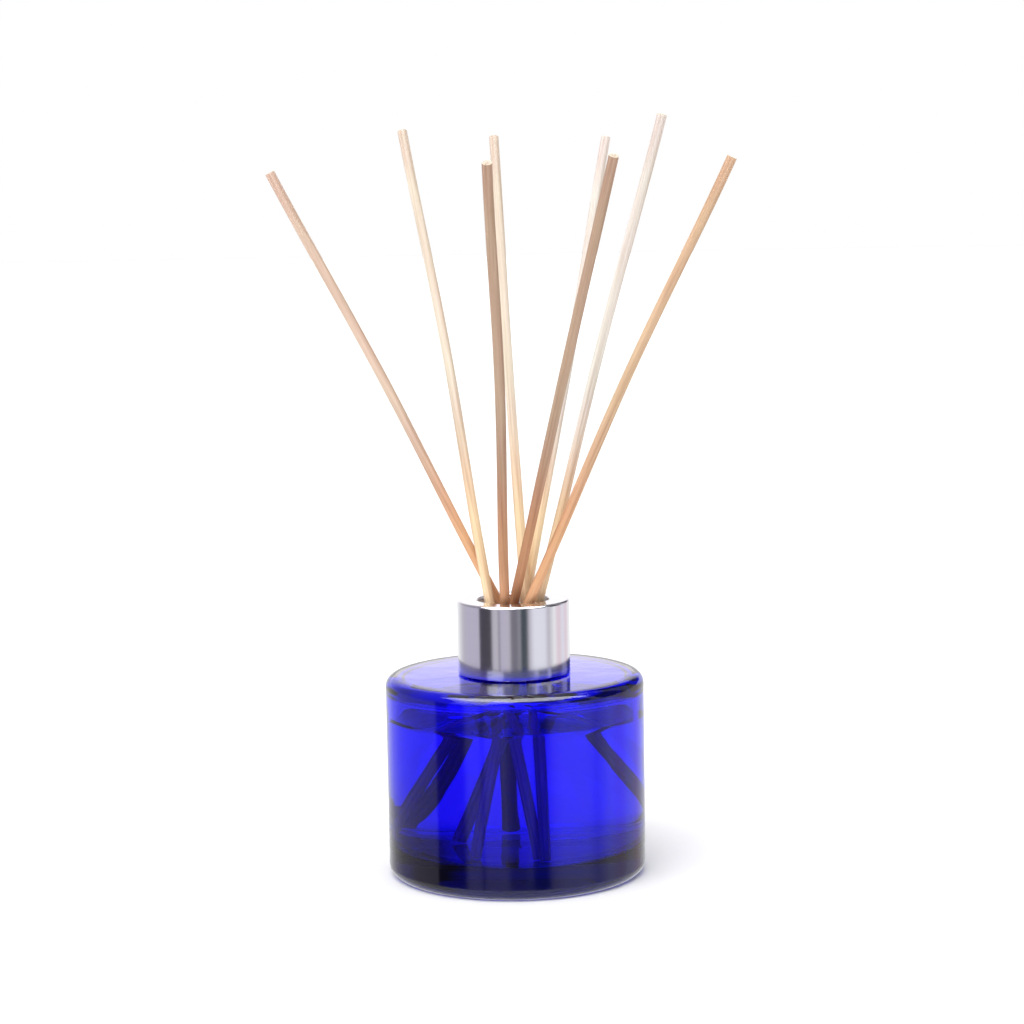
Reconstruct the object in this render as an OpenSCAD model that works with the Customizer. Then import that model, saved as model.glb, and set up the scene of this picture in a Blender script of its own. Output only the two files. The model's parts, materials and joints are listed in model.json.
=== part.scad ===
// Reed diffuser: a squat glass bottle of fragrance oil, a screw collar and eight rattan reeds.
// Millimetres, +Z up. The origin is the centre of the bottle's underside.

/* [Bottle] */
// Outer diameter of the bottle's body
bottle_d = 76; // [76:1:90]
// Height of the flat shoulder above the table
body_h = 59.2; // [56:0.2:66]
// Thickness of the side wall and the shoulder
wall_t = 3; // [2.5:0.1:3]
// Thickness of the solid glass base
base_t = 9; // [5:0.5:9]
// Outer radius of the edge round the shoulder
shoulder_r = 3.2; // [2:0.1:5]
// Outer radius of the heel round the base
heel_r = 3.5; // [1:0.1:5]

/* [Neck] */
// Diameter of the bore through the neck
bore_d = 21; // [20.8:0.1:21.4]
// Outer diameter of the neck's wall under its thread
neck_d = 24.8; // [24.6:0.1:25]
// Diameter over the crest of the neck's thread
thread_d = 27.2; // [26.6:0.1:27.4]
// Rise of the thread in one turn
thread_pitch = 4.2; // [4:0.1:4.4]

/* [Oil] */
// Height of the oil's surface above the table
oil_level = 47; // [30:1:50]

/* [Collar] */
// Outer diameter of the collar
collar_d = 33; // [32:0.5:36]
// Height of the collar
collar_h = 21.7; // [20.8:0.1:21.8]
// Gap between the collar's lower edge and the shoulder
collar_gap = 0.3; // [0.3:0.1:1.5]
// Diameter of the collar's mouth
mouth_d = 21; // [20.8:0.1:21.4]
// Thickness of the collar's metal
shell_t = 1; // [0.8:0.1:1.2]

/* [Reeds] */
// Diameter of a reed
reed_d = 3; // [2.4:0.1:3]
// Length of a reed
reed_l = 220; // [180:5:240]

/* [Hidden] */
$fn = 96;

// Where the reeds stand: [foot x, foot y, foot z], then [x, y] where the reed passes the collar's
// mouth. A foot's z is its centre's, so it is larger on a reed that leans further.
REED_PLACES = [
    [[30.5, 9.2, 9.8], [-5.2, 5]],
    [[5.5, -22, 9.6], [-7, -2]],
    [[-1, 28.8, 9.8], [-2.4, -6.2]],
    [[7.2, -25, 9.6], [3.5, 0.5]],
    [[-10.5, -18.5, 9.6], [3.8, 4]],
    [[-15.6, 28, 9.8], [0.4, -1.6]],
    [[-11, 10, 9.5], [7.7, 0]],
    [[-28.5, 2.9, 9.8], [4.6, -5.2]]
];

body_r = bottle_d / 2;
cavity_r = body_r - wall_t;
ceiling_z = body_h - wall_t;
cavity_edge_r = 3;
neck_r = neck_d / 2;
bore_r = bore_d / 2;
neck_fillet = 1.2;
rim_edge_r = 0.7;
bore_flare_r = 4;

collar_r = collar_d / 2;
collar_z = body_h + collar_gap;
mouth_z = collar_z + collar_h;
mouth_r = mouth_d / 2;
collar_edge_r = 0.9;
mouth_edge_r = 0.4;
insert_top_t = 1;
seal_t = 1;
neck_top_z = mouth_z - shell_t - insert_top_t - seal_t;
insert_r = collar_r - shell_t;
insert_foot = 0.6;

// The thread: a bead on the neck, and one inside the liner that runs half a pitch below it.
thread_crest_r = thread_d / 2;
thread_clear = 0.3;
liner_r = thread_crest_r + thread_clear;
liner_crest_r = neck_r + thread_clear;
thread_turns = 1.25;
liner_turns = 1;
thread_top_gap = 3;
thread_z = neck_top_z - thread_top_gap - thread_pitch * thread_turns;
bead_root_w = 2.2;
bead_crest_w = 1;
bead_sink = 0.4;
bead_step = 12;
bead_taper = 36;

// The oil stands this far clear of the glass, and its channel for a reed this far clear of the reed
// at the channel's corners. A channel runs on past the reed's foot, so that it opens at the floor.
oil_clear = 0.05;
reed_clear = 0.15;
channel_run = 3;
channel_sides = 12;

// Points of an arc about centre c, from angle a0 to angle a1.
function arc(c, r, a0, a1, n = 8) =
    [for (i = [0 : n]) c + r * [cos(a0 + (a1 - a0) * i / n), sin(a0 + (a1 - a0) * i / n)]];

// A half section of the cavity under the level top_z, shrunk by gap, from its axis outwards.
function cavity_foot(top_z, gap) = concat(
    [[0, base_t + gap]],
    arc([cavity_r - cavity_edge_r, base_t + cavity_edge_r], cavity_edge_r - gap, -90, 0),
    [[cavity_r - gap, top_z]]
);

function reversed(points) = [for (i = [len(points) - 1 : -1 : 0]) points[i]];

module bottle_section() {
    outside = concat(
        [[0, 0]],
        arc([body_r - heel_r, heel_r], heel_r, -90, 0),
        arc([body_r - shoulder_r, body_h - shoulder_r], shoulder_r, 0, 90),
        arc([neck_r + neck_fillet, body_h + neck_fillet], neck_fillet, 270, 180),
        arc([neck_r - rim_edge_r, neck_top_z - rim_edge_r], rim_edge_r, 0, 90)
    );
    inside = concat(
        arc([bore_r + rim_edge_r, neck_top_z - rim_edge_r], rim_edge_r, 90, 180),
        arc([bore_r + bore_flare_r, ceiling_z + bore_flare_r], bore_flare_r, 180, 270),
        arc([cavity_r - cavity_edge_r, ceiling_z - cavity_edge_r], cavity_edge_r, 90, 0)
    );
    polygon(concat(outside, inside, reversed(cavity_foot(ceiling_z - cavity_edge_r - 1, 0))));
}

// One ring of the thread's bead: its section at an angle round the axis, root_r at its foot and
// crest_r at its top, lowered to nothing over the taper at each end.
function bead_ring(a, turns, root_r, crest_r, foot_r) =
    let (
        rise = min(1, a / bead_taper, (turns * 360 - a) / bead_taper),
        top_r = root_r + (crest_r - root_r) * max(0.05, rise),
        z = thread_pitch * a / 360
    )
    [for (p = [[foot_r, -bead_root_w / 2], [top_r, -bead_crest_w / 2],
               [top_r, bead_crest_w / 2], [foot_r, bead_root_w / 2]])
        [p[0] * cos(a), p[0] * sin(a), z + p[1]]];

// A helical bead. foot_r is the radius of its buried side.
module thread_bead(turns, root_r, crest_r, foot_r) {
    rings = round(turns * 360 / bead_step);
    points = [for (i = [0 : rings]) each bead_ring(i * bead_step, turns, root_r, crest_r, foot_r)];
    sides = [for (i = [0 : rings - 1]) for (k = [0 : 3])
        [4 * i + k, 4 * i + (k + 1) % 4, 4 * (i + 1) + (k + 1) % 4, 4 * (i + 1) + k]];
    start = [3, 2, 1, 0];
    end = [for (k = [0 : 3]) 4 * rings + k];
    faces = concat([start], sides, [end]);
    inward = foot_r > crest_r;
    polyhedron(points, inward ? [for (f = faces) reversed(f)] : faces);
}

module glass_bottle() {
    color([0.13, 0.12, 0.85, 0.6]) union() {
        rotate_extrude() bottle_section();
        translate([0, 0, thread_z])
            thread_bead(thread_turns, neck_r, thread_crest_r, neck_r - bead_sink);
    }
}

// Direction of a reed, from its foot to its tip.
function reed_way(place) =
    let (way = [place[1][0], place[1][1], mouth_z] - place[0]) way / norm(way);

// A cylinder along a reed's line, from its foot.
module along_reed(place, r, l) {
    way = reed_way(place);
    translate(place[0])
        rotate([0, acos(way[2]), atan2(way[1], way[0])])
            cylinder(r = r, h = l);
}

module reed(i) {
    color("burlywood") along_reed(REED_PLACES[i - 1], reed_d / 2, reed_l);
}

module fragrance_oil() {
    color([0.55, 0.6, 1, 0.4]) difference() {
        rotate_extrude() polygon(concat(cavity_foot(oil_level, oil_clear), [[0, oil_level]]));
        for (place = REED_PLACES)
            translate(-channel_run * reed_way(place))
                along_reed(place, reed_d / 2 + reed_clear, reed_l, $fn = channel_sides);
    }
}

module collar_shell() {
    color("silver") rotate_extrude() polygon(concat(
        [[insert_r, collar_z], [collar_r, collar_z]],
        arc([collar_r - collar_edge_r, mouth_z - collar_edge_r], collar_edge_r, 0, 90),
        arc([mouth_r + mouth_edge_r, mouth_z - mouth_edge_r], mouth_edge_r, 90, 180),
        [[mouth_r, mouth_z - shell_t], [insert_r, mouth_z - shell_t]]
    ));
}

module collar_insert() {
    top_z = mouth_z - shell_t;
    color("white") union() {
        rotate_extrude() polygon([
            [liner_r, collar_z + insert_foot],
            [insert_r, collar_z + insert_foot],
            [insert_r, top_z],
            [bore_r, top_z],
            [bore_r, top_z - insert_top_t],
            [liner_r, top_z - insert_top_t]
        ]);
        translate([0, 0, thread_z - thread_pitch / 2])
            thread_bead(liner_turns, liner_r, liner_crest_r, liner_r + bead_sink);
    }
}

module collar_seal() {
    color("whitesmoke") translate([0, 0, neck_top_z]) difference() {
        cylinder(r = liner_r - thread_clear, h = seal_t);
        translate([0, 0, -seal_t]) cylinder(r = bore_r, h = 3 * seal_t);
    }
}

glass_bottle();
fragrance_oil();
collar_shell();
collar_insert();
collar_seal();
reed(1);  // reed_1
reed(2);  // reed_2
reed(3);  // reed_3
reed(4);  // reed_4
reed(5);  // reed_5
reed(6);  // reed_6
reed(7);  // reed_7
reed(8);  // reed_8
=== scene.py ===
import json
import math
import random

import bpy
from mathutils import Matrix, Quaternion, Vector


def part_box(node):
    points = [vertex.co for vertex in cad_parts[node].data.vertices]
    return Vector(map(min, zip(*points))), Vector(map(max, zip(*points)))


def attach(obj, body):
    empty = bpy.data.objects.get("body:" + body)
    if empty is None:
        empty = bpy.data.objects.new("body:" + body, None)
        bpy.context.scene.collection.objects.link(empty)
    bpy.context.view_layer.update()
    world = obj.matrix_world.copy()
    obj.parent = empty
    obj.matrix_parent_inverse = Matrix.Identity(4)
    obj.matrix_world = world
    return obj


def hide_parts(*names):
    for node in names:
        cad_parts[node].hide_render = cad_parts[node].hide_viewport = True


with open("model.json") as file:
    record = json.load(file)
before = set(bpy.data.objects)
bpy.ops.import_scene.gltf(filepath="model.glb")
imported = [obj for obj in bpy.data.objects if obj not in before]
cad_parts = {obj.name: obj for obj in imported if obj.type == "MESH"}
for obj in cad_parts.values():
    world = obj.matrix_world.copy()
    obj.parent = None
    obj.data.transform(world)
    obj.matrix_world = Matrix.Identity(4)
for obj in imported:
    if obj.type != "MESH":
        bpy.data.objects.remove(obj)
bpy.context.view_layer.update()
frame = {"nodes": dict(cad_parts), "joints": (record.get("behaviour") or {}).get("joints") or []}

MM = 0.001
TURN = 2 * math.pi

# The reed diffuser, in millimetres in the CAD frame: +Z up, the origin under the bottle's centre.
glass_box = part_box("glass_bottle")
oil_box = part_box("fragrance_oil")
shell_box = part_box("collar_shell")
liner_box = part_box("collar_insert")

OIL_GAP = 0.05
BODY_R = glass_box[1].x / MM
NECK_TOP_Z = glass_box[1].z / MM
CAVITY_R = oil_box[1].x / MM + OIL_GAP
FLOOR_Z = oil_box[0].z / MM - OIL_GAP
OIL_Z = oil_box[1].z / MM
COLLAR_R = shell_box[1].x / MM
COLLAR_Z = shell_box[0].z / MM
MOUTH_Z = shell_box[1].z / MM
LINER_R = liner_box[1].x / MM

WALL = BODY_R - CAVITY_R
COLLAR_GAP = 0.3
BODY_H = COLLAR_Z - COLLAR_GAP
CEILING_Z = BODY_H - WALL
SHELL_T = 1.0
MOUTH_R = 10.5
NECK_R = 12.4
THREAD_R = 13.6
THREAD_PITCH = 4.2
REEDS = range(1, 9)
REED_R = 1.5
REED_L = 220.0


# ---------------------------------------------------------------- mesh building

# How many sides a piece has that is turned round the bottle's axis.
SEGMENTS = 240


def arc(r, z, radius, start, end, count):
    """Points round (r, z) from one angle to another, in degrees, both ends included."""
    steps = [math.radians(start + (end - start) * i / count) for i in range(count + 1)]
    return [(r + radius * math.cos(a), z + radius * math.sin(a)) for a in steps]


def line(start, end, count):
    """Points after start, on the way to end and including it."""
    return [
        (start[0] + (end[0] - start[0]) * i / count, start[1] + (end[1] - start[1]) * i / count)
        for i in range(1, count + 1)
    ]


def skin(name, rings, closed=False):
    """A smooth-shaded object over rings of points in millimetres, each ring joined to the next. A
    ring of one point closes an end. Where closed is set, the last ring joins the first."""
    count = max(len(ring) for ring in rings)
    vertices, numbers, faces = [], [], []
    for ring in rings:
        first = len(vertices)
        numbers.append([first + k % len(ring) for k in range(count)])
        vertices += [Vector(point) * MM for point in ring]
    pairs = list(zip(numbers, numbers[1:]))
    if closed:
        pairs.append((numbers[-1], numbers[0]))
    for low, high in pairs:
        for k in range(count):
            n = (k + 1) % count
            faces.append(list(dict.fromkeys([low[k], low[n], high[n], high[k]])))
    mesh = bpy.data.meshes.new(name)
    mesh.from_pydata(vertices, [], faces)
    mesh.shade_smooth()
    mesh.update()
    made = bpy.data.objects.new(name, mesh)
    bpy.context.scene.collection.objects.link(made)
    return made


def lathe(name, profile, shift=None):
    """A closed solid turned round Z. profile runs anticlockwise in (r, z), seen with r to the right.
    It either starts and ends on the axis, or is the outline of a ring. shift(angle, r, z, index)
    moves a point."""
    rings = []
    for index, (r, z) in enumerate(profile):
        if r == 0:
            rings.append([(0, 0, z)])
            continue
        ring = []
        for k in range(SEGMENTS):
            a = TURN * k / SEGMENTS
            rr, zz = shift(a, r, z, index) if shift else (r, z)
            ring.append((rr * math.cos(a), rr * math.sin(a), zz))
        rings.append(ring)
    return skin(name, rings, closed=profile[0][0] != 0)


# ---------------------------------------------------------------- materials

class Nodes:
    """A node tree, built a node at a time."""

    def __init__(self, tree):
        self.tree = tree

    def link(self, source, socket):
        self.tree.links.new(source, socket)

    def node(self, kind, inputs=None, **settings):
        made = self.tree.nodes.new(kind)
        for key, value in settings.items():
            setattr(made, key, value)
        for socket, value in (inputs or {}).items():
            if isinstance(value, bpy.types.NodeSocket):
                self.link(value, made.inputs[socket])
            else:
                made.inputs[socket].default_value = value
        return made

    def math(self, operation, a, b):
        return self.node("ShaderNodeMath", {0: a, 1: b}, operation=operation).outputs[0]

    def ramp(self, factor, stops):
        made = self.node("ShaderNodeValToRGB", {"Fac": factor})
        elements = made.color_ramp.elements
        while len(elements) < len(stops):
            elements.new(0.5)
        for element, (position, colour) in zip(elements, stops):
            element.position = position
            element.color = (*colour, 1)
        return made.outputs["Color"]

    def mix(self, factor, a, b, blend="MIX"):
        made = self.node("ShaderNodeMix", data_type="RGBA", blend_type=blend)
        for socket, value in zip((0, 6, 7), (factor, a, b)):
            if isinstance(value, bpy.types.NodeSocket):
                self.link(value, made.inputs[socket])
            else:
                made.inputs[socket].default_value = value if socket == 0 else (*value, 1)
        return made.outputs[2]

    def spread(self, factor, low, high, start=0.0, end=1.0):
        """factor from start to end, turned into low to high."""
        inputs = {"Value": factor, "From Min": start, "From Max": end, "To Min": low, "To Max": high}
        return self.node("ShaderNodeMapRange", inputs).outputs[0]


class Material(Nodes):
    """A node material with one Principled shader."""

    def __init__(self, name, **sockets):
        self.material = bpy.data.materials.new(name)
        self.material.use_nodes = True
        super().__init__(self.material.node_tree)
        self.shader = self.tree.nodes["Principled BSDF"]
        self.output = self.tree.nodes["Material Output"]
        self.coords = self.node("ShaderNodeTexCoord").outputs["Object"]
        for socket, value in sockets.items():
            self.shader.inputs[socket.replace("_", " ")].default_value = value

    def feed(self, socket, source):
        self.link(source, self.shader.inputs[socket])

    def place(self, scale):
        """The piece's coordinates, scaled along each axis."""
        return self.node("ShaderNodeMapping", {"Vector": self.coords, "Scale": scale}).outputs[0]

    def noise(self, scale, size, detail=3.0, rough=0.5):
        inputs = {"Vector": self.place(scale), "Scale": size, "Detail": detail, "Roughness": rough}
        return self.node("ShaderNodeTexNoise", inputs).outputs["Fac"]

    def bump(self, height, distance, strength=1.0):
        inputs = {"Height": height, "Distance": distance, "Strength": strength}
        self.feed("Normal", self.node("ShaderNodeBump", inputs).outputs[0])

    def absorb(self, colour, density):
        made = self.node("ShaderNodeVolumeAbsorption", {"Color": (*colour, 1), "Density": density})
        self.link(made.outputs[0], self.output.inputs["Volume"])


EVEN = (1, 1, 1)
GLASS_IOR = 1.50
GLASS_COLOUR = (0.14, 0.0, 0.96)
GLASS_DENSITY = 850.0
OIL_IOR = 1.40
OIL_COLOUR = (0.86, 0.88, 1.0)
OIL_DENSITY = 14.0


def clear_body(name, ior):
    """A smooth, clear material, to be coloured by what it absorbs."""
    return Material(name, Base_Color=(1, 1, 1, 1), Roughness=0.0, IOR=ior, Transmission_Weight=1.0)


def cobalt_glass():
    """Cobalt glass, coloured through."""
    m = clear_body("cobalt_glass", GLASS_IOR)
    m.bump(m.noise((1, 1, 0.35), 70, 2.0), 0.0004, 0.06)
    m.absorb(GLASS_COLOUR, GLASS_DENSITY)
    return m.material


def oil_liquid():
    """Scented oil, all but clear."""
    m = clear_body("scented_oil", OIL_IOR)
    m.bump(m.noise(EVEN, 60, 1.0), 0.0002, 0.03)
    m.absorb(OIL_COLOUR, OIL_DENSITY)
    return m.material


METAL_DULL = (0.76, 0.76, 0.79)
METAL_BRIGHT = (0.90, 0.90, 0.915)


def polished_metal():
    """Turned and polished aluminium, with a grain that runs round the collar."""
    m = Material("polished_metal", Metallic=1.0, Roughness=0.13, Anisotropic=0.35)
    grain = m.noise((1, 1, 60), 110, 4.0, 0.65)
    smudge = m.noise(EVEN, 55, 3.0)
    m.feed("Base Color", m.mix(m.spread(grain, 0.25, 0.75), METAL_DULL, METAL_BRIGHT))
    m.feed("Roughness", m.spread(m.mix(0.5, grain, smudge), 0.05, 0.20))
    m.bump(grain, 0.00002, 0.25)
    return m.material


def liner_plastic():
    """Moulded white plastic with a fine texture."""
    m = Material("liner_plastic", Roughness=0.42, IOR=1.49)
    cloud = m.noise(EVEN, 120, 4.0)
    m.feed("Base Color", m.ramp(cloud, [(0.3, (0.70, 0.69, 0.66)), (0.7, (0.80, 0.79, 0.76))]))
    m.feed("Roughness", m.spread(cloud, 0.36, 0.5))
    m.bump(m.noise(EVEN, 900, 3.0), 0.00003, 0.3)
    return m.material


def foam():
    """Sealing foam with fine cells."""
    m = Material("foam", Roughness=0.9)
    cells = m.node("ShaderNodeTexVoronoi", {"Vector": m.place(EVEN), "Scale": 2600.0})
    m.feed("Base Color", m.ramp(cells.outputs[0], [(0, (0.60, 0.60, 0.57)), (0.6, (0.82, 0.82, 0.79))]))
    m.bump(cells.outputs[0], 0.0001, 0.5)
    return m.material


BLUSH = (1.0, 0.90, 0.87)
BUFF = (1.0, 0.98, 0.90)
FIBRE_SHADE = (0.64, 0.54, 0.47)
PITH = (0.72, 0.62, 0.50)
# How far up a reed the oil has climbed, and how far above and below that its colour fades, in
# millimetres.
WET_TO = 118
WET_FADE = 20
# A reed's tip shows its bare pith. The colour fades in over these distances from its end.
PITH_FROM = 0.12
PITH_TO = 0.04


def rattan(name, tone, base_tone):
    """Raw rattan with a lengthwise grain, warmed by the oil that has climbed it. Its grain follows
    the piece's own "grain" coordinates: across, across and along the reed from its foot, in metres."""
    m = Material(name, Roughness=0.62, Specular_IOR_Level=0.3)
    m.coords = m.node("ShaderNodeAttribute", attribute_name="grain").outputs["Vector"]
    fibre = m.noise((1, 1, 0.02), 1800, 2.0, 0.5)
    streak = m.noise((1, 1, 0.028), 780, 2.0, 0.5)
    patch = m.noise((1, 1, 0.4), 60, 2.0)
    along = m.node("ShaderNodeSeparateXYZ", {0: m.coords}).outputs["Z"]
    climb = m.node("ShaderNodeMapRange", {
        "Value": along, "From Min": (WET_TO - WET_FADE) * MM, "From Max": (WET_TO + WET_FADE) * MM,
    }, interpolation_type="SMOOTHSTEP").outputs[0]
    ground = m.mix(climb, base_tone, tone)
    ground = m.mix(1.0, ground, m.mix(m.spread(patch, 0, 1, 0.4, 0.6), BLUSH, BUFF), "MULTIPLY")
    shaded = m.mix(1.0, ground, FIBRE_SHADE, "MULTIPLY")
    grained = m.mix(m.spread(streak, 0.35, 1.0, 0.36, 0.56), shaded, ground)
    grained = m.mix(m.spread(fibre, 0.25, 0.0, 0.38, 0.52), grained, shaded)
    ends = m.spread(along, 0, 1, (REED_L - PITH_FROM) * MM, (REED_L - PITH_TO) * MM)
    m.feed("Base Color", m.mix(ends, grained, PITH))
    m.feed("Roughness", m.spread(streak, 0.52, 0.78))
    m.bump(m.mix(0.6, fibre, streak), 0.00012, 0.6)
    return m.material


# ---------------------------------------------------------------- the glass bottle

HEEL_R = 3.5
SHOULDER_R = 3.2
EDGE_R = 3.0
FLARE_R = 4.0
NECK_FILLET = 1.2
RIM_R = 0.7
PUNT_R = 24.0
PUNT_H = 0.9
MENISCUS_H = 0.9
# How near a level surface a point counts as part of it.
NEAR = 0.01
# The unevenness of the wall's blown inside: how deep each wave is, how many go round, the angle
# that it starts at, and the height over which it twists by one radian.
WALL_WAVES = [(0.13, 3, 1.1, 21), (0.09, 5, -0.7, -13), (0.05, 9, 0, 6), (0.03, 14, 2.0, -4)]
# The waves grow over this distance outwards from the neck's flare.
WAVE_FADE = 6
THREAD_TURNS = 1.25
THREAD_TOP_GAP = 3.0
BEAD_HALF_W = 1.25
BEAD_FADE_TURNS = 0.1
# The ridges of the mould's two parting lines. The wall stands in by their height.
SEAM_H = 0.05
SEAM_W = 0.35
SEAM_ANGLES = (0.35, 0.35 + math.pi)


def outer_glass():
    """The bottle's outside, from the middle of its punt to the top of its rim."""
    points = [(0, PUNT_H)]
    points += [(PUNT_R * t, PUNT_H * (1 - t * t) ** 2) for t in (i / 10 for i in range(1, 11))]
    points += line((PUNT_R, 0), (BODY_R - HEEL_R, 0), 6)
    points += arc(BODY_R - HEEL_R, HEEL_R, HEEL_R, -90, 0, 12)[1:]
    points += line((BODY_R, HEEL_R), (BODY_R, BODY_H - SHOULDER_R), 30)
    points += arc(BODY_R - SHOULDER_R, BODY_H - SHOULDER_R, SHOULDER_R, 0, 90, 14)[1:]
    foot_r = NECK_R + NECK_FILLET
    points += line((BODY_R - SHOULDER_R, BODY_H), (foot_r, BODY_H), 14)
    points += arc(foot_r, BODY_H + NECK_FILLET, NECK_FILLET, 270, 180, 6)[1:]
    points += line((NECK_R, BODY_H + NECK_FILLET), (NECK_R, NECK_TOP_Z - RIM_R), 90)
    points += arc(NECK_R - RIM_R, NECK_TOP_Z - RIM_R, RIM_R, 0, 90, 8)[1:]
    return points


def inner_glass():
    """Down the neck's bore and across the cavity's ceiling, to where the oil wets the wall."""
    points = arc(MOUTH_R + RIM_R, NECK_TOP_Z - RIM_R, RIM_R, 90, 180, 8)
    points += line((MOUTH_R, NECK_TOP_Z - RIM_R), (MOUTH_R, CEILING_Z + FLARE_R), 12)
    points += arc(MOUTH_R + FLARE_R, CEILING_Z + FLARE_R, FLARE_R, 180, 270, 14)[1:]
    points += line((MOUTH_R + FLARE_R, CEILING_Z), (CAVITY_R - EDGE_R, CEILING_Z), 10)
    points += arc(CAVITY_R - EDGE_R, CEILING_Z - EDGE_R, EDGE_R, 90, 0, 12)[1:]
    return points + line((CAVITY_R, CEILING_Z - EDGE_R), (CAVITY_R, OIL_Z + MENISCUS_H), 6)


def wetted_glass(sink=0.0):
    """Down the cavity's wall and across its floor, where the oil wets it, or sink inside the glass."""
    wall_r = CAVITY_R + sink
    points = line((wall_r, OIL_Z + MENISCUS_H), (wall_r, FLOOR_Z + EDGE_R), 24)
    points += arc(CAVITY_R - EDGE_R, FLOOR_Z + EDGE_R, EDGE_R + sink, 0, -90, 12)[1:]
    return points + line((CAVITY_R - EDGE_R, FLOOR_Z - sink), (0, FLOOR_Z - sink), 16)


def wall_wave(a, z):
    """How far the blown inside of the wall strays from round, in millimetres."""
    return sum(depth * math.sin(count * a + start + z / rise) for depth, count, start, rise in WALL_WAVES)


def floor_wave(a, r):
    """How far the floor of the cavity strays from flat."""
    return 0.10 * math.sin(2 * a + 0.5) * r / CAVITY_R + 0.05 * math.cos(r / 5) * math.sin(3 * a)


def inside_shift(a, r, z):
    """The glass's inner surface, with the unevenness of blown glass."""
    part = min(1.0, max(0.0, (r - MOUTH_R - FLARE_R) / WAVE_FADE))
    if z > CEILING_Z + NEAR:
        return r, z
    if z <= FLOOR_Z + NEAR:
        return r, z + floor_wave(a, r)
    return r - abs(wall_wave(a, z)) * part, z


def thread_bead(a, z):
    """Height of the neck's screw thread at an angle and a height."""
    top = NECK_TOP_Z - THREAD_TOP_GAP
    best = 0.0
    for turn in range(-1, 3):
        along = a / TURN + turn
        if 0 <= along <= THREAD_TURNS:
            centre = top - THREAD_PITCH * (THREAD_TURNS - along)
            fade = min(1.0, along / BEAD_FADE_TURNS, (THREAD_TURNS - along) / BEAD_FADE_TURNS)
            off = abs(z - centre) / BEAD_HALF_W
            if off < 1:
                best = max(best, fade * (THREAD_R - NECK_R) * (1 - off ** 4) ** 1.5)
    return best


def seam(a):
    """Height of the mould's two parting lines, faint ridges at the sides."""
    return sum(SEAM_H * math.exp(-(((a - at + math.pi) % TURN - math.pi) * BODY_R / SEAM_W) ** 2)
               for at in SEAM_ANGLES)


def bottle_glass():
    outside = outer_glass()

    def shift(a, r, z, index):
        if index >= len(outside):
            return inside_shift(a, r, z)
        if BODY_H + NECK_FILLET < z < NECK_TOP_Z - RIM_R:
            return r + thread_bead(a, z), z
        if HEEL_R < z < BODY_H - SHOULDER_R:
            return r - SEAM_H + seam(a), z
        return r, z

    made = lathe("bottle_glass", outside + inner_glass() + wetted_glass(), shift)
    made.data.materials.append(cobalt_glass())
    return made


# ---------------------------------------------------------------- the oil

WETTING = 0.02
MENISCUS_W = 1.1
# How high the oil climbs a reed, and how fast that falls off beside it.
CLIMB_H = 0.6
CLIMB_W = 0.8
# The oil's surface has rings this far from its edge, and inside EVEN_FROM it has evenly spaced ones,
# SURFACE_RINGS to its radius.
EDGE_STEPS = (0.15, 0.35, 0.6, 0.9, 1.3, 1.8)
EVEN_FROM = 2.0
SURFACE_RINGS = 64


def bottle_oil(reeds):
    """The oil wets the glass, climbs it a little, and climbs each reed. It reaches WETTING into the
    glass, so that light crosses from one to the other with no film of air between."""
    edge_r = CAVITY_R + WETTING
    under = list(reversed(wetted_glass(WETTING)))
    radii = [edge_r - step for step in EDGE_STEPS]
    even = (edge_r * (1 - i / SURFACE_RINGS) for i in range(1, SURFACE_RINGS))
    radii += [r for r in even if r < edge_r - EVEN_FROM]
    surface = [(r, OIL_Z) for r in radii + [0]]
    crossings = [foot + way * ((OIL_Z - foot.z) / way.z) for foot, way in reeds]

    def shift(a, r, z, index):
        if index < len(under):
            return inside_shift(a, r, z)
        x, y = r * math.cos(a), r * math.sin(a)
        rise = MENISCUS_H * math.exp(-(edge_r - r) / MENISCUS_W)
        for crossing in crossings:
            off = math.hypot(x - crossing.x, y - crossing.y) - REED_R
            rise = max(rise, CLIMB_H * math.exp(-max(off, 0) / CLIMB_W))
        return r, z + rise

    made = lathe("bottle_oil", under + surface, shift)
    made.data.materials.append(oil_liquid())
    return made


# ---------------------------------------------------------------- the collar

COLLAR_EDGE_R = 0.9
MOUTH_EDGE_R = 0.4
FOOT_EDGE_R = 0.3


def collar_metal():
    """The shell: round its foot, up its outside, across its top, down its mouth and back inside."""
    foot_z = COLLAR_Z + FOOT_EDGE_R
    points = arc(LINER_R + FOOT_EDGE_R, foot_z, FOOT_EDGE_R, 180, 270, 5)
    points += arc(COLLAR_R - FOOT_EDGE_R, foot_z, FOOT_EDGE_R, 270, 360, 6)
    points += line((COLLAR_R, foot_z), (COLLAR_R, MOUTH_Z - COLLAR_EDGE_R), 24)
    points += arc(COLLAR_R - COLLAR_EDGE_R, MOUTH_Z - COLLAR_EDGE_R, COLLAR_EDGE_R, 0, 90, 14)[1:]
    points += line((COLLAR_R - COLLAR_EDGE_R, MOUTH_Z), (MOUTH_R + MOUTH_EDGE_R, MOUTH_Z), 8)
    points += arc(MOUTH_R + MOUTH_EDGE_R, MOUTH_Z - MOUTH_EDGE_R, MOUTH_EDGE_R, 90, 180, 8)[1:]
    points += line((MOUTH_R, MOUTH_Z - MOUTH_EDGE_R), (MOUTH_R, MOUTH_Z - SHELL_T), 3)
    points += line((MOUTH_R, MOUTH_Z - SHELL_T), (LINER_R, MOUTH_Z - SHELL_T), 6)
    points += line((LINER_R, MOUTH_Z - SHELL_T), (LINER_R, foot_z + FOOT_EDGE_R), 20)
    made = lathe("collar_metal", points)
    made.data.materials.append(polished_metal())
    return made


# ---------------------------------------------------------------- the reeds

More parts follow.
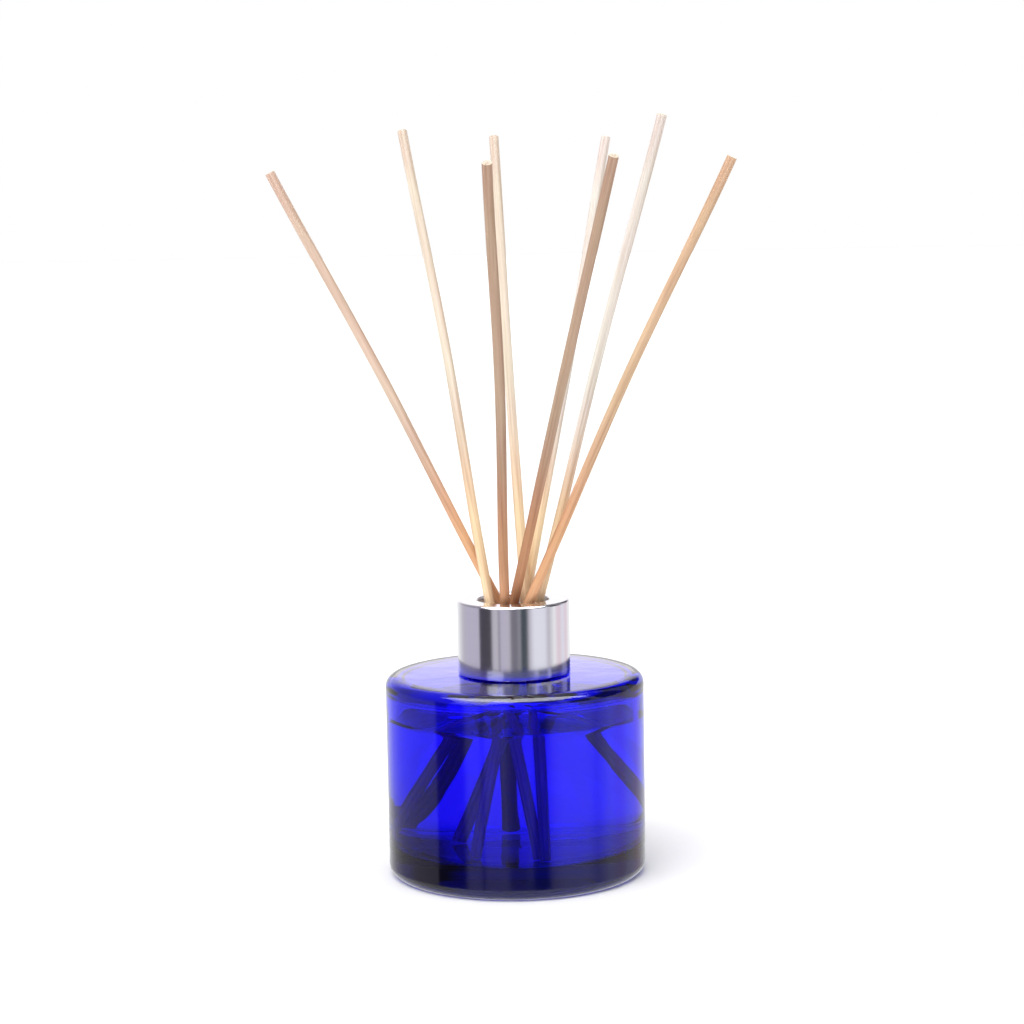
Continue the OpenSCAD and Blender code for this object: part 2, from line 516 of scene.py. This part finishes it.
CREAM = (0.77, 0.745, 0.73)
PALE = (0.76, 0.69, 0.61)
ROSY = (0.69, 0.54, 0.46)
STRAW = (0.66, 0.475, 0.335)
TAN = (0.475, 0.345, 0.265)
WARM_CREAM = (0.80, 0.63, 0.43)
HONEY = (0.72, 0.42, 0.245)
WARM_TAN = (0.53, 0.285, 0.165)
# Each reed's colour above the oil that it has drawn up, its colour where the oil has reached, and
# how far it bows to +X between the mouth and its tip, in millimetres.
REED_LOOKS = [
    (ROSY, HONEY, 0.9),
    (PALE, WARM_CREAM, 1.0),
    (TAN, WARM_TAN, 1.0),
    (PALE, WARM_CREAM, -0.3),
    (CREAM, WARM_CREAM, 0.6),
    (TAN, WARM_TAN, -0.2),
    (CREAM, WARM_CREAM, -0.7),
    (STRAW, HONEY, -1.2),
]
REED_SIDES = 40
REED_RINGS = 110
BOW_FROM = 85.0
# The ribs of the rattan's fibres: how many go round, and their depth as a share of the radius.
RIBS = ((5, 0.022), (9, 0.022), (13, 0.018), (19, 0.012))
RIB_TWIST = 0.02
# How a reed thins and swells along its length: by how much, and over what length, in millimetres.
SWELLS = ((0.018, 17), (0.012, 6.5))
# A reed's end face and its edge, from the centre out: how far along the reed, and the share of its
# radius. The full radius starts at END_L.
END = [(0.0, share) for share in (0, 0.15, 0.3, 0.45, 0.6, 0.75, 0.88, 0.95)] + [(0.06, 0.985)]
END_L = 0.15
# The pores of an end face. Their radius and places are shares of its radius, and their depth is in
# millimetres. None reaches past PORES_TO.
PORE_COUNT = 16
PORE_R = 0.13
PORE_DEPTH = 0.28
PORES_TO = 0.9


def reed_line(number):
    """A reed's foot and its direction, from its joint and its box."""
    joint = next(j for j in frame["joints"] if j["name"] == f"reed_{number}_draw")
    way = Vector(joint["axis"]).normalized()
    low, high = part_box(f"reed_{number}")
    return (low + high) / (2 * MM) - way * (REED_L / 2), way


def reed_rings(side, bow, seed):
    """The rings of a reed that stands on its foot, along +Z, and bows towards side."""
    ribs = [(count, seed.uniform(0, TURN), seed.uniform(-RIB_TWIST, RIB_TWIST), depth)
            for count, depth in RIBS]
    starts = [seed.uniform(0, TURN) for _ in range(3)]
    pores = [(seed.uniform(0.1, 0.78), seed.uniform(0, TURN)) for _ in range(PORE_COUNT)]

    def radius(a, s):
        rib = sum(depth * (0.5 + 0.5 * math.sin(n * a + at + twist * s)) for n, at, twist, depth in ribs)
        thinner = sum(depth * (1 + math.sin(s / length + start))
                      for (depth, length), start in zip(SWELLS, starts))
        return REED_R * (1 - rib) - thinner

    def centre(s):
        t = min(1.0, max(0.0, (s - BOW_FROM) / (REED_L - BOW_FROM)))
        return side * (bow * math.sin(math.pi * t) ** 2) + Vector((0, 0, s))

    def sunk(a, share):
        """How deep a place on an end face lies in a pore."""
        if share >= PORES_TO:
            return 0.0
        x, y = share * math.cos(a), share * math.sin(a)
        near = min(math.hypot(x - p * math.cos(t), y - p * math.sin(t)) for p, t in pores)
        return PORE_DEPTH * max(0.0, 1 - near / PORE_R)

    def point(s, share, a):
        reach = radius(a, s) * share
        into = sunk(a, share) if s < REED_L / 2 else -sunk(a, share)
        return centre(s) + Vector((reach * math.cos(a), reach * math.sin(a), into))

    steps = END + [(END_L, 1.0)]
    steps += [(END_L + (REED_L - 2 * END_L) * i / REED_RINGS, 1.0) for i in range(1, REED_RINGS + 1)]
    steps += [(REED_L - s, share) for s, share in reversed(END)]
    angles = [TURN * k / REED_SIDES for k in range(REED_SIDES)]
    return [[point(s, share, a) for a in angles] if share else [centre(s)] for s, share in steps]


def reed_piece(number):
    """One rattan reed: a shallow ribbed rod, slightly bowed, with open pores at its ends."""
    foot, way = reed_line(number)
    tone, base_tone, bow = REED_LOOKS[number - 1]
    turn = Vector((0, 0, 1)).rotation_difference(way)
    side = turn.inverted() @ Vector((1, 0, 0))
    side.z = 0
    side.normalize()
    rings = reed_rings(side, bow, random.Random(number))
    made = skin(f"rattan_reed_{number}", [[foot + turn @ v for v in ring] for ring in rings])
    grain = made.data.attributes.new("grain", "FLOAT_VECTOR", "POINT")
    grain.data.foreach_set("vector", [part * MM for ring in rings for v in ring for part in v])
    made.data.materials.append(rattan(f"rattan_{number}", tone, base_tone))
    return made


# ---------------------------------------------------------------- the studio

def floor():
    bpy.ops.mesh.primitive_plane_add(size=12, location=(0, 2, 0))
    made = bpy.context.object
    made.name = "floor"
    m = Material("floor", Roughness=0.75)
    paper = m.ramp(m.noise(EVEN, 3), [(0.3, (0.93, 0.93, 0.935)), (0.7, (0.95, 0.95, 0.95))])
    m.feed("Base Color", paper)
    made.data.materials.append(m.material)
    made.visible_glossy = False


WHITE = (0.95, 0.95, 0.97)
PEARL = (0.84, 0.84, 0.93)
ROSE = (0.84, 0.70, 0.77)
DOVE = (0.56, 0.53, 0.60)
LILAC = (0.54, 0.50, 0.62)
SLATE = (0.20, 0.19, 0.23)
TEAL = (0.065, 0.08, 0.095)
PLUM = (0.075, 0.067, 0.088)

# The cards that stand round the bottle, as polished metal sees them, by the angle round from the
# camera's side to +X.
CARDS = [
    (-180, WHITE), (-155, WHITE), (-125, DOVE), (-112, LILAC), (-76, LILAC), (-73, PLUM),
    (-48, PLUM), (-43, DOVE), (-33, DOVE), (-30, SLATE), (-27, LILAC), (-18, LILAC), (-10, DOVE),
    (-4, SLATE), (6, SLATE), (12, (0.34, 0.34, 0.38)), (16, TEAL), (26, TEAL), (32, DOVE),
    (42, PEARL), (66, PEARL), (76, DOVE), (92, WHITE), (102, ROSE), (110, ROSE), (118, PEARL),
    (135, ROSE), (150, WHITE), (180, WHITE),
]
# The same for what stands above them: the sweep behind, windows to the left of the camera, and
# black flags to the right.
BACKDROP = [
    (-180, (0.95, 0.91, 0.94)), (-162, (0.92, 0.88, 0.92)), (-140, (0.40, 0.38, 0.42)),
    (-60, (0.20, 0.17, 0.24)), (-54, (0.95, 0.95, 0.98)), (-26, (0.95, 0.95, 0.98)),
    (-20, (0.22, 0.23, 0.26)), (40, (0.20, 0.21, 0.24)), (43, (0.60, 0.60, 0.63)),
    (49, (0.60, 0.60, 0.63)), (52, (0.17, 0.18, 0.20)), (71, (0.17, 0.18, 0.20)),
    (74, (0.70, 0.70, 0.72)), (79, (0.70, 0.70, 0.72)), (83, (0.06, 0.06, 0.07)),
    (112, (0.06, 0.06, 0.07)), (118, (0.35, 0.34, 0.37)), (134, (0.35, 0.34, 0.37)),
    (140, (0.05, 0.05, 0.06)), (158, (0.05, 0.05, 0.06)), (166, (0.85, 0.81, 0.84)),
    (180, (0.95, 0.91, 0.94)),
]
# How bright the backdrop is by its height. A height is the sine of the elevation, here and below.
SWEEP = [(0.165, 0.8), (0.173, 1.0), (0.186, 0.62), (0.35, 0.55), (0.85, 0.55), (0.93, 0.30), (1.0, 0.26)]
# The heights between which the cards give way to the backdrop.
CARD_TOP = (0.155, 0.168)
# The softbox hangs above these heights, from the camera's side to just over the bottle. Its back
# edge is where a direction's share of +Y lies between these values.
SOFTBOX_FOOT = (0.70, 0.76)
SOFTBOX_BACK = (-0.02, 0.04)
SOFTBOX = (4.0, 4.0, 4.2)
# The table fills what lies below these heights.
TABLE_EDGE = (-0.36, -0.28)
TABLE = (0.55, 0.55, 0.56)
# The strength of the light that is mirrored, the share of it that the cards have, and the strength
# of the plain light that falls on all that doesn't mirror.
MIRRORED = 2.0
CARD_SHARE = 0.5
FILL = 0.75


def studio():
    """White all round for the camera and for plain surfaces. What is polished mirrors the cards."""
    world = bpy.data.worlds.new("studio")
    bpy.context.scene.world = world
    world.use_nodes = True
    n = Nodes(world.node_tree)
    plain = world.node_tree.nodes["Background"]
    plain.inputs["Color"].default_value = (1, 1, 1, 1)

    way = n.node("ShaderNodeSeparateXYZ", {0: n.node("ShaderNodeTexCoord").outputs["Generated"]}).outputs
    angle = n.math("ARCTAN2", way["X"], n.math("MULTIPLY", way["Y"], -1.0))
    turn = n.spread(angle, 0, 1, -math.pi, math.pi)
    height = way["Z"]

    def panorama(ring, share):
        stops = [((degrees + 180) / 360, [part * share for part in tint]) for degrees, tint in ring]
        return n.ramp(turn, stops)

    sweep = n.ramp(height, [(rise, (light,) * 3) for rise, light in SWEEP])
    backdrop = n.mix(1.0, panorama(BACKDROP, 1.0), sweep, "MULTIPLY")
    colour = n.mix(n.spread(height, 0, 1, *CARD_TOP), panorama(CARDS, CARD_SHARE), backdrop)
    above, forward = n.spread(height, 0, 1, *SOFTBOX_FOOT), n.spread(way["Y"], 1, 0, *SOFTBOX_BACK)
    colour = n.mix(n.math("MULTIPLY", above, forward), colour, SOFTBOX)
    colour = n.mix(n.spread(height, 1, 0, *TABLE_EDGE), colour, TABLE)
    mirrored = n.node("ShaderNodeBackground", {"Color": colour, "Strength": MIRRORED})
    path = n.node("ShaderNodeLightPath").outputs
    n.link(n.spread(path["Is Camera Ray"], FILL, 1.0), plain.inputs["Strength"])
    polished = n.math("MAXIMUM", path["Is Glossy Ray"], path["Is Transmission Ray"])
    chosen = n.node("ShaderNodeMixShader", {0: polished, 1: plain.outputs[0], 2: mirrored.outputs[0]})
    n.link(chosen.outputs[0], world.node_tree.nodes["World Output"].inputs["Surface"])


def sun(name, strength, spread, way):
    """A large soft light that shines along way."""
    light = bpy.data.lights.new(name, "SUN")
    light.energy = strength
    light.angle = math.radians(spread)
    made = bpy.data.objects.new(name, light)
    made.rotation_mode = "QUATERNION"
    made.rotation_quaternion = Vector(way).to_track_quat("-Z", "Y")
    bpy.context.scene.collection.objects.link(made)


LENS = 92.65
AIM = (0.1, 0, 106.8)
DISTANCE = 770.3
ELEVATION = 6.85
ROLL = -1.0


def camera():
    data = bpy.data.cameras.new("camera")
    data.lens = LENS
    data.sensor_width = 36
    data.clip_end = 50
    made = bpy.data.objects.new("camera", data)
    bpy.context.scene.collection.objects.link(made)
    target = Vector(AIM) * MM
    elevation = math.radians(ELEVATION)
    back = Vector((0, -math.cos(elevation), math.sin(elevation)))
    made.location = target + back * DISTANCE * MM
    made.rotation_mode = "QUATERNION"
    roll = Quaternion((0, 0, 1), math.radians(ROLL))
    made.rotation_quaternion = (-back).to_track_quat("-Z", "Y") @ roll
    bpy.context.scene.camera = made


# ---------------------------------------------------------------- the whole

scene = bpy.context.scene
scene.view_settings.view_transform = "Standard"
scene.cycles.max_bounces = 32
scene.cycles.transmission_bounces = 32
scene.cycles.glossy_bounces = 16
scene.cycles.transparent_max_bounces = 16

camera()
studio()
sun("key", 1.5, 50, (0.4, 0.6, -0.8))
sun("top", 0.8, 70, (0, 0, -1))
floor()

# Each piece, the body that it rides on, the CAD node that it stands for, and its material slot.
pieces = [
    (bottle_glass(), "bottle", "glass_bottle", "cobalt_glass"),
    (bottle_oil([reed_line(n) for n in REEDS]), "bottle", "fragrance_oil", "scented_oil"),
    (collar_metal(), "collar", "collar_shell", "polished_metal"),
]
pieces += [(reed_piece(n), f"reed_{n}", f"reed_{n}", "rattan") for n in REEDS]
for piece, body, node, slot in pieces:
    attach(piece, body)
    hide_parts(node)

for node, material in (("collar_insert", liner_plastic()), ("collar_seal", foam())):
    frame["nodes"][node].data.materials.clear()
    frame["nodes"][node].data.materials.append(material)
